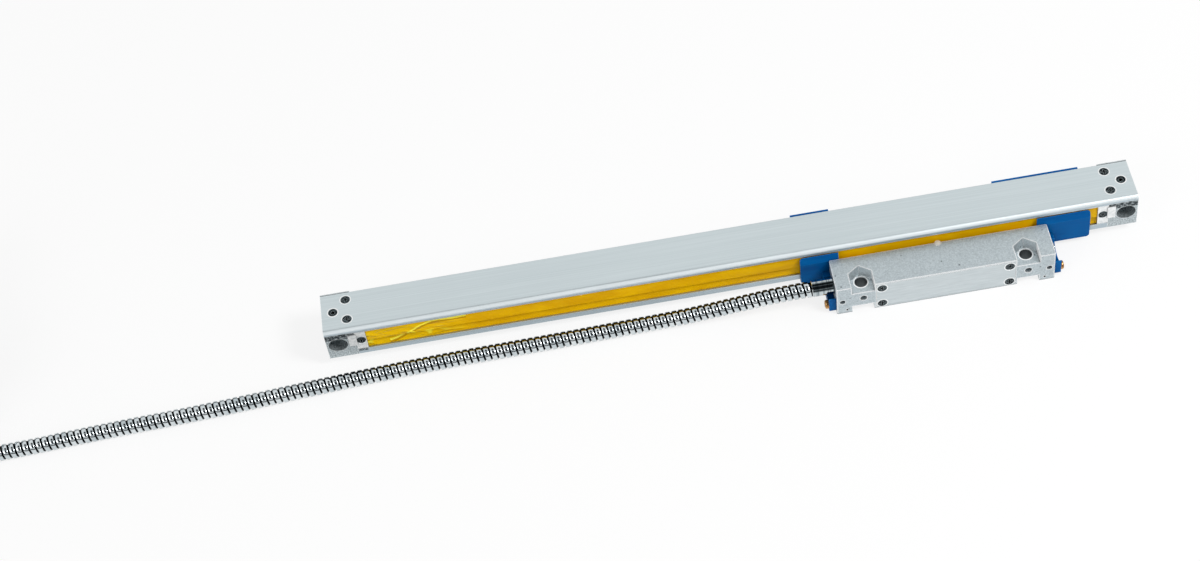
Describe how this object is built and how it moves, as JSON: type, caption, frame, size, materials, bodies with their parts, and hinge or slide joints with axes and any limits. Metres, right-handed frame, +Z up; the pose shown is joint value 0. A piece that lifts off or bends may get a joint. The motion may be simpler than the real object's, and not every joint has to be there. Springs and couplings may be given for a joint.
{
  "type": "linear glass scale",
  "caption": "Sealed linear glass scale: slotted aluminium housing with amber sealing lips, a sliding reading head with an armoured cable, and blue transport brackets.",
  "frame": {"origin": "midway between the two mounting slots, on the seat face at the back of the end blocks, at the height of the slots", "axes": "+X along the scale towards the end where the head is stored, +Y into the machine face that the scale is screwed to, +Z up, away from the head's seat"},
  "size_m": [0.624, 0.0965, 0.044],
  "materials": {
    "machined_aluminium": "satin, natural anodised",
    "cast_aluminium": "fine blasted die casting",
    "clamp_steel": "bright stamped steel",
    "black_steel": "black oxide",
    "seal_polyurethane": "smooth amber film",
    "scale_glass": "clear, polished",
    "chrome_track": "mirror, finely divided",
    "black_rubber": "matte",
    "circuit_board": "green solder mask",
    "spring_steel": "ground",
    "carriage_plastic": "fibre-filled moulding",
    "bearing_steel": "ground and polished",
    "ribbon_film": "copper on polyimide film",
    "bracket_plastic": "smooth blue moulding",
    "yellow_zinc": "yellow passivated zinc",
    "nickel_plate": "nickel plated",
    "spiral_armour": "bright wound steel strip",
    "hood_plastic": "grey moulding",
    "black_plastic": "black moulding",
    "gold_plate": "gold plated"
  },
  "bodies": {
    "scale_housing": {"housing_profile": "machined_aluminium", "end_block_left": "machined_aluminium", "end_block_right": "machined_aluminium", "end_block_screws": "black_steel", "air_port_screws": "black_steel", "seal_clamps": "clamp_steel", "seal_clamp_screws": "black_steel", "seal_clamp_anchors": "clamp_steel", "upper_lip_seal": "seal_polyurethane", "lower_lip_seal": "seal_polyurethane", "glass_scale": "scale_glass", "graduation_track": "chrome_track", "glass_clamp_strip": "black_rubber", "end_bumpers": "black_rubber"},
    "scanning_head": {"head_cover_plate": "machined_aluminium", "head_casting": "cast_aluminium", "head_cover_screws": "black_steel", "blade_screws": "black_steel", "lamp_lens": "scale_glass", "scanning_reticle": "scale_glass", "head_cover_gasket": "black_rubber", "plug_boot": "black_rubber", "head_circuit_board": "circuit_board", "lamp_board": "circuit_board", "photocell_board": "circuit_board", "scanning_blade": "spring_steel", "coupling_wire": "spring_steel", "roller_axles": "spring_steel", "index_pin": "spring_steel", "carriage": "carriage_plastic", "signal_ribbon": "ribbon_film", "left_transport_bracket": "bracket_plastic", "right_transport_bracket": "bracket_plastic", "bracket_screws": "yellow_zinc", "blanking_plug": "nickel_plate", "cable_ferrule": "nickel_plate", "plug_shell": "nickel_plate", "plug_jack_screws": "nickel_plate", "cable_lead": "spiral_armour", "cable_coil": "spiral_armour", "cable_tail": "spiral_armour", "plug_hood_upper": "hood_plastic", "plug_hood_lower": "hood_plastic", "plug_insert": "black_plastic", "plug_contacts": "gold_plate"},
    "roller_1": {"carriage_roller_1": "bearing_steel"},
    "roller_2": {"carriage_roller_2": "bearing_steel"},
    "roller_3": {"carriage_roller_3": "bearing_steel"},
    "roller_4": {"carriage_roller_4": "bearing_steel"},
    "roller_5": {"carriage_roller_5": "bearing_steel"}
  },
  "joints": [
    {"name": "head_slide", "type": "slide", "parent": "scale_housing", "child": "scanning_head", "axis": [1, 0, 0], "range_m": [-0.19, 0.007]},
    {"name": "roller_spin_1", "type": "hinge", "parent": "scanning_head", "child": "roller_1", "pos_m": [0.07065, -0.0064, -0.00042], "axis": [0, 1, 0], "continuous": true},
    {"name": "roller_spin_2", "type": "hinge", "parent": "scanning_head", "child": "roller_2", "pos_m": [0.10665, -0.0064, -0.00042], "axis": [0, 1, 0], "continuous": true},
    {"name": "roller_spin_3", "type": "hinge", "parent": "scanning_head", "child": "roller_3", "pos_m": [0.08265, -0.0118, -0.00042], "axis": [0, 1, 0], "continuous": true},
    {"name": "roller_spin_4", "type": "hinge", "parent": "scanning_head", "child": "roller_4", "pos_m": [0.07065, -0.01572, 0.0025], "axis": [0, 0, 1], "continuous": true},
    {"name": "roller_spin_5", "type": "hinge", "parent": "scanning_head", "child": "roller_5", "pos_m": [0.10665, -0.01572, 0.0025], "axis": [0, 0, 1], "continuous": true}
  ],
  "couplings": [
    {"joint": "roller_spin_1", "follows": "head_slide", "rad_per_m": -500},
    {"joint": "roller_spin_2", "follows": "head_slide", "rad_per_m": -500},
    {"joint": "roller_spin_3", "follows": "head_slide", "rad_per_m": -500},
    {"joint": "roller_spin_4", "follows": "head_slide", "rad_per_m": 500},
    {"joint": "roller_spin_5", "follows": "head_slide", "rad_per_m": 500}
  ]
}
